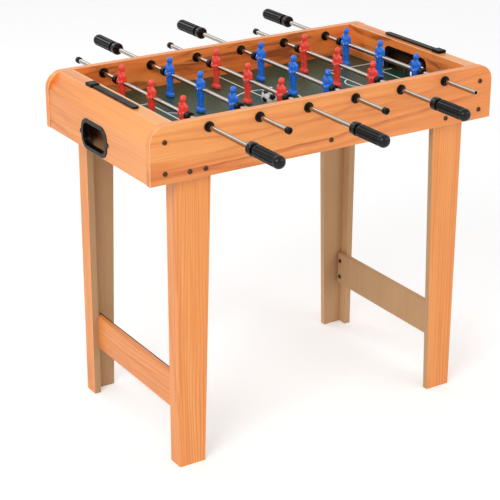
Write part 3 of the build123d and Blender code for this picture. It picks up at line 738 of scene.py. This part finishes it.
def player_form():
    """One moulded player, in millimetres round the rod's axis. It faces -X."""
    heap = Heap()
    # head with hair, ears, brow, nose and chin
    heap.ball((0, 0, 23.8), (5.2, 5.1, 6.4))
    heap.ball((0.7, 0, 26.0), (5.1, 5.4, 4.4))
    heap.ball((-1.7, 0, 21.3), (2.9, 3.0, 2.9))
    heap.ball((-5.0, 0, 23.5), (0.8, 0.8, 1.5))
    heap.ball((-4.6, 0, 25.5), (0.7, 2.8, 0.6))
    heap.ball((-4.3, 0, 20.8), (0.7, 1.3, 0.5))
    for side in (-1, 1):
        heap.ball((0.2, 5.2 * side, 23.5), (1.1, 0.7, 1.6))
    # neck, shoulders, chest and back
    heap.limb((0.3, 0, 21), (0.2, 0, 13), 3.7, 4.6)
    heap.limb((0.2, -7.8, 12.8), (0.2, 7.8, 12.8), 3.4, 3.4)
    for side in (-1, 1):
        heap.limb((0.2, 2.0 * side, 16.4), (0.2, 8.0 * side, 13.6), 3.0, 2.9)
    heap.ball((0.2, 0, 13.2), (4.0, 9.8, 3.8))
    heap.ball((-0.2, 0, 8.2), (5.4, 9.2, 8.2))
    heap.ball((-1.9, -3.3, 9.6), (3.2, 3.6, 3.2))
    heap.ball((-1.9, 3.3, 9.6), (3.2, 3.6, 3.2))
    heap.ball((1.2, 0, 9.4), (3.9, 7.2, 6.0))
    # the barrel that holds the rod
    heap.put(POST, Matrix.Rotation(math.pi / 2, 4, "X") @ Matrix.Diagonal((6.0, 6.0, 19.0, 1)))
    heap.ball((0, 0, 2.0), (5.9, 9.0, 7.0))
    # arms held down at the sides, with sleeves and hands
    for side in (-1, 1):
        heap.limb((0.2, 9.4 * side, 12.4), (0.0, 10.0 * side, 5.4), 3.35, 3.3)
        heap.limb((0.0, 10.3 * side, 5.8), (-0.8, 10.7 * side, -1.6), 2.65, 2.3)
        heap.ball((-1.1, 10.7 * side, -3.2), (2.4, 1.9, 2.7))
    # shorts
    heap.ball((0, 0, -5.2), (5.5, 8.9, 5.4))
    for side in (-1, 1):
        heap.limb((0, 4.1 * side, -6.0), (-0.1, 4.2 * side, -14.0), 4.7, 4.35)
    # thighs, knees, calves and socks
    for side in (-1, 1):
        heap.limb((0, 3.9 * side, -13.0), (-0.2, 3.7 * side, -20.0), 3.75, 3.35)
        heap.ball((-0.9, 3.7 * side, -21.6), (3.0, 3.0, 2.5))
        heap.limb((0.3, 3.7 * side, -22.0), (0.1, 3.9 * side, -33.6), 3.35, 3.1)
        heap.ball((1.1, 3.8 * side, -26.0), (2.9, 3.1, 4.4))
    heap.ball((0, 0, -24.0), (2.3, 3.0, 11.5))
    # boots on the foot block
    heap.block((0, 0, -38.2), (9.4, 18.4, 4.6))
    heap.block((0, 0, -35.8), (7.8, 16.0, 3.8))
    for side in (-1, 1):
        heap.ball((-1.2, 4.9 * side, -36.6), (3.2, 4.4, 3.0))
        heap.ball((1.4, 4.9 * side, -36.4), (2.8, 4.2, 3.2))
    return heap


def skinned(name, heap):
    """One smooth closed skin round a heap of overlapping closed forms."""
    data = bpy.data.meshes.new(name + "_heap")
    data.from_pydata(heap.points, [], heap.faces)
    holder = placed(name + "_heap", data)
    remesh = holder.modifiers.new("skin", "REMESH")
    remesh.mode = "VOXEL"
    remesh.voxel_size = SKIN_VOXEL
    smooth = holder.modifiers.new("smooth", "SMOOTH")
    smooth.factor = 0.5
    smooth.iterations = SKIN_ROUNDS
    thin = holder.modifiers.new("thin", "DECIMATE")
    thin.ratio = SKIN_KEPT
    state = bpy.context.evaluated_depsgraph_get()
    skin = bpy.data.meshes.new_from_object(holder.evaluated_get(state))
    bpy.data.objects.remove(holder)
    skin.name = name
    return skin


def crease(distance, width, depth):
    """How far a pressed line sinks the skin at a distance from its middle."""
    return depth * math.exp(-(distance / width) ** 2)


def pressed(x, y, z):
    """How deep the creases of a moulded player are at a point of its skin."""
    press = crease(z - HEM, 0.5, 0.35) + crease(z - SOCK, 0.45, 0.22)
    if abs(y) < 9.2:
        press += crease(z - BELT - 0.05 * abs(y), 0.5, 0.25)
    if z > 5 and abs(y) > 8.0:
        press += crease(z - SLEEVE, 0.45, 0.25)
    if 14 < z < 19:
        press += crease(z - COLLAR - 0.25 * x, 0.4, 0.2)
    if -33 < z < -8:
        press += crease(y, 0.55, 0.5)
    return press


def shape_player(skin):
    """Presses the creases into a player's skin, and keeps it within the CAD player's outline."""
    normals = [vertex.normal.copy() for vertex in skin.vertices]
    for vertex, normal in zip(skin.vertices, normals):
        vertex.co = vertex.co - normal * pressed(*vertex.co)
    for vertex in skin.vertices:
        reach = math.hypot(vertex.co.x, vertex.co.z)
        if vertex.co.z < -30 and reach > SOLE_REACH:
            vertex.co.x *= SOLE_REACH / reach
            vertex.co.z *= SOLE_REACH / reach
        vertex.co.z = max(min(vertex.co.z, HEAD_TOP), SOLE)
        vertex.co.y = max(min(vertex.co.y, ELBOW), -ELBOW)


def screw_form():
    """A small domed screw head with a cross slot, in millimetres, along +Z."""
    mesh = bmesh.new()
    rings, turns = 12, 48
    rows = []
    for ring in range(1, rings + 1):
        reach = SCREW_RADIUS * ring / rings
        row = []
        for turn in range(turns):
            angle = 2 * math.pi * turn / turns
            x, y = reach * math.cos(angle), reach * math.sin(angle)
            z = SCREW_DOME * math.sqrt(max(0.0, 1 - (ring / rings) ** 2 * 0.93))
            slot = min(abs(x), abs(y)) < SLOT_HALF and reach < SCREW_RADIUS * SLOT_SHARE
            row.append(mesh.verts.new((x, y, z - (SLOT_DEPTH if slot else 0.0))))
        rows.append(row)
    rows.append([mesh.verts.new((vertex.co.x, vertex.co.y, SCREW_SKIRT)) for vertex in rows[-1]])
    for inner, outer in zip(rows, rows[1:]):
        for turn in range(turns):
            after = (turn + 1) % turns
            mesh.faces.new((inner[turn], outer[turn], outer[after], inner[after]))
    mesh.faces.new(rows[0])
    mesh.faces.new(list(reversed(rows[-1])))
    bmesh.ops.recalc_face_normals(mesh, faces=mesh.faces)
    return mesh


def joined(name, parts, materials):
    """One mesh from (mesh, matrix, material index) parts."""
    whole = bmesh.new()
    for mesh, matrix, index in parts:
        first = len(whole.faces)
        whole.from_mesh(mesh)
        whole.faces.ensure_lookup_table()
        fresh = whole.faces[first:]
        corners = {vertex for face in fresh for vertex in face.verts}
        bmesh.ops.transform(whole, matrix=matrix, verts=list(corners))
        for face in fresh:
            face.material_index = index
            face.smooth = True
    data = bpy.data.meshes.new(name)
    whole.to_mesh(data)
    whole.free()
    for material in materials:
        data.materials.append(material)
    return data


def add_players():
    """Three detailed players on each rod, in place of the CAD's plain ones."""
    figure = skinned("player", player_form())
    shape_player(figure)
    head = bpy.data.meshes.new("player_screw")
    form = screw_form()
    form.to_mesh(head)
    form.free()
    steel = screw_look("bright_screw", *STEEL)
    plastics = {"red": plastic_look("red_mould", *RED, 0.19, folds=0.0007),
                "blue": plastic_look("blue_mould", *BLUE, 0.19, folds=0.0007)}
    pitch = (GEO["rod_1_men"][1].y - GEO["rod_1_men"][0].y - PLAYER_WIDTH) / 2
    sets = {}
    for number in RODS:
        team = "red" if number % 2 else "blue"
        if team not in sets:
            parts = []
            for step in (-1, 0, 1):
                place = Matrix.Translation((0, step * pitch, 0)) @ Matrix.Diagonal((MM, MM, MM, 1))
                parts.append((figure, place, 0))
                seat = Matrix.Translation((SCREW_SEAT, 0, 0)) @ Matrix.Rotation(-math.pi / 2, 4, "Y")
                parts.append((head, place @ seat, 1))
            sets[team] = joined(f"{team}_players", parts, [plastics[team], steel])
        piece = placed(f"rod_{number}_players", sets[team])
        piece.location = JOINTS[f"rod_{number}_spin"]["pos_m"]
        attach(piece, f"rod_{number}_spinner")
        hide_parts(f"rod_{number}_men")


# ---------------------------------------------------------------- ball
PATCH_CUT = 0.40            # shares of the ball's radius
SEAM_HALF = 0.02
SEAM_DEPTH = 0.012
BALL_TURNS = ((0.5, "X"), (0.35, "Y"), (0.4, "Z"))
BALL_WHITE = (colour(251, 251, 248), colour(240, 240, 237))
BALL_RUBBED = colour(210, 210, 202)
BALL_BLACK = (colour(26, 26, 28), colour(18, 18, 20))
BALL_SEAM = (colour(150, 150, 148), colour(120, 120, 118))


def add_ball():
    """A white ball with black pentagons and pressed seams."""
    low, high = GEO["ball"]
    centre, radius = (low + high) / 2, (high.x - low.x) / 2
    mesh = bmesh.new()
    bmesh.ops.create_icosphere(mesh, subdivisions=1, radius=1.0)
    bmesh.ops.bevel(mesh, geom=list(mesh.verts), offset=PATCH_CUT, affect="VERTICES", segments=1,
                    profile=0.5)
    bmesh.ops.remove_doubles(mesh, verts=mesh.verts, dist=0.01)
    for face in mesh.faces:
        face.material_index = 1 if len(face.verts) == 5 else 0
    panels = list(mesh.faces)
    bmesh.ops.inset_individual(mesh, faces=panels, thickness=SEAM_HALF, use_even_offset=True)
    tops = set(panels)
    for face in mesh.faces:
        if face not in tops:
            face.material_index = 2
    seams = {vertex.index for vertex in mesh.verts if not any(face in tops for face in vertex.link_faces)}
    deep = mesh.verts.layers.float.new("deep")
    mesh.verts.ensure_lookup_table()
    for vertex in mesh.verts:
        vertex[deep] = 1.0 if vertex.index in seams else 0.0
    bmesh.ops.poke(mesh, faces=[face for face in mesh.faces if face in tops])
    bmesh.ops.subdivide_edges(mesh, edges=mesh.edges, cuts=5, use_grid_fill=True)
    for vertex in mesh.verts:
        vertex.co = vertex.co.normalized() * radius * (1 - SEAM_DEPTH * vertex[deep] ** 1.5)
    turn = Matrix.Identity(4)
    for angle, axis in BALL_TURNS:
        turn = turn @ Matrix.Rotation(angle, 4, axis)
    bmesh.ops.transform(mesh, matrix=turn, verts=mesh.verts)
    bmesh.ops.recalc_face_normals(mesh, faces=mesh.faces)
    for face in mesh.faces:
        face.smooth = True
    data = bpy.data.meshes.new("match_ball")
    mesh.to_mesh(data)
    mesh.free()
    data.materials.append(plastic_look("ball_white", *BALL_WHITE, 0.28, wear=0.15, wear_colour=BALL_RUBBED))
    data.materials.append(plastic_look("ball_black", *BALL_BLACK, 0.28))
    data.materials.append(plastic_look("ball_seam", *BALL_SEAM, 0.5))
    piece = placed("match_ball", data)
    piece.location = centre
    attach(piece, "ball")
    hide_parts("ball")


# ---------------------------------------------------------------- studio
VIEW_PLACE = (-1.436993, -2.180702, 1.366628)
VIEW_YAW, VIEW_DOWN, VIEW_ROLL = -32.4, 21.356, 0.098      # degrees
SENSOR, LENS = 36.0, 111.87                                 # mm
SHIFT_X, SHIFT_Y = 0.0105, -0.0717
VIEW_END = 60.0
FLOOR_HALF, FLOOR_DROP = 30.0, 0.2 * MM
FLOOR_PAPER = (0.86, 0.86, 0.86, 1)
FLOOR_GLOW = 0.32           # what a straight look adds, so that the floor shows white
WHITE = (1, 1, 1, 1)
SEEN_RAYS = ("Is Camera Ray", "Is Glossy Ray", "Is Transmission Ray")
ROOM_LIGHT, ROOM_SEEN = 0.63, 1.0
# name, place, target, width and height, watts
LAMPS = (("key", (-2.6, -1.6, 2.6), (0, 0, 0.5), (1.6, 1.6), 50),
         ("strip", (-0.5, 2.1, 2.1), (0, 0, 0.6), (0.5, 1.8), 8),
         ("fill", (1.6, -2.6, 1.6), (0, 0, 0.5), (2.0, 1.6), 15))


def add_camera():
    """The view from above and to the left of the front."""
    yaw, pitch, roll = (math.radians(angle) for angle in (VIEW_YAW, VIEW_DOWN, VIEW_ROLL))
    back = Vector((math.sin(yaw) * math.cos(pitch), -math.cos(yaw) * math.cos(pitch), math.sin(pitch)))
    right = (-back).cross(Vector((0, 0, 1))).normalized()
    up = back.cross(right)
    right, up = right * math.cos(roll) + up * math.sin(roll), up * math.cos(roll) - right * math.sin(roll)
    data = bpy.data.cameras.new("camera")
    data.sensor_width = SENSOR
    data.lens = LENS
    data.shift_x, data.shift_y = SHIFT_X, SHIFT_Y
    data.clip_end = VIEW_END
    camera = placed("camera", data)
    aim = Matrix((right, up, back)).transposed().to_4x4()
    camera.matrix_world = Matrix.Translation(VIEW_PLACE) @ aim
    bpy.context.scene.camera = camera


def add_lamp(name, place, target, size, power):
    """A soft rectangular lamp that faces a target."""
    data = bpy.data.lights.new(name, "AREA")
    data.shape = "RECTANGLE"
    data.size, data.size_y = size
    data.energy = power
    lamp = placed(name, data)
    lamp.location = place
    lamp.rotation_euler = (Vector(target) - Vector(place)).to_track_quat("-Z", "Y").to_euler()


def add_floor():
    """A pale floor, seen as white with the object's soft shadow in it."""
    data = bpy.data.meshes.new("floor")
    half = FLOOR_HALF
    corners = [(-half, -half, 0), (half, -half, 0), (half, half, 0), (-half, half, 0)]
    data.from_pydata(corners, [], [(0, 1, 2, 3)])
    floor = placed("floor", data)
    floor.location.z = -FLOOR_DROP
    look = Look("floor_paper", Roughness=0.9, Base_Color=FLOOR_PAPER)
    look.bump(look.noise(look.place(), 300.0), 0.00005, 0.1)
    path = look.add("LightPath").outputs
    seen = strongest(look, [path[ray] for ray in SEEN_RAYS])
    look.feed(look.shader.inputs["Emission Color"], WHITE)
    look.feed(look.shader.inputs["Emission Strength"], look.math("MULTIPLY", seen, FLOOR_GLOW))
    data.materials.append(look.material)


def light_scene():
    """A pale room that a straight look or a reflection sees as white, and three soft lamps."""
    world = bpy.data.worlds.new("studio")
    bpy.context.scene.world = world
    world.use_nodes = True
    tree = world.node_tree
    lit = tree.nodes["Background"]
    lit.inputs["Color"].default_value = WHITE
    lit.inputs["Strength"].default_value = ROOM_LIGHT
    shown = tree.nodes.new("ShaderNodeBackground")
    shown.inputs["Color"].default_value = WHITE
    shown.inputs["Strength"].default_value = ROOM_SEEN
    path = tree.nodes.new("ShaderNodeLightPath").outputs
    seen = path[SEEN_RAYS[0]]
    for ray in SEEN_RAYS[1:]:
        larger = tree.nodes.new("ShaderNodeMath")
        larger.operation = "MAXIMUM"
        tree.links.new(seen, larger.inputs[0])
        tree.links.new(path[ray], larger.inputs[1])
        seen = larger.outputs[0]
    blend = tree.nodes.new("ShaderNodeMixShader")
    tree.links.new(seen, blend.inputs[0])
    tree.links.new(lit.outputs[0], blend.inputs[1])
    tree.links.new(shown.outputs[0], blend.inputs[2])
    tree.links.new(blend.outputs[0], tree.nodes["World Output"].inputs[0])
    for lamp in LAMPS:
        add_lamp(*lamp)
    bpy.context.scene.view_settings.view_transform = "Standard"


paint_side_panels()
paint_ends()
paint_stretchers()
paint_legs()
paint_inside()
paint("playing_field", field_look())
paint_fittings()
add_players()
add_ball()
add_camera()
add_floor()
light_scene()

bpy.context.view_layer.update()
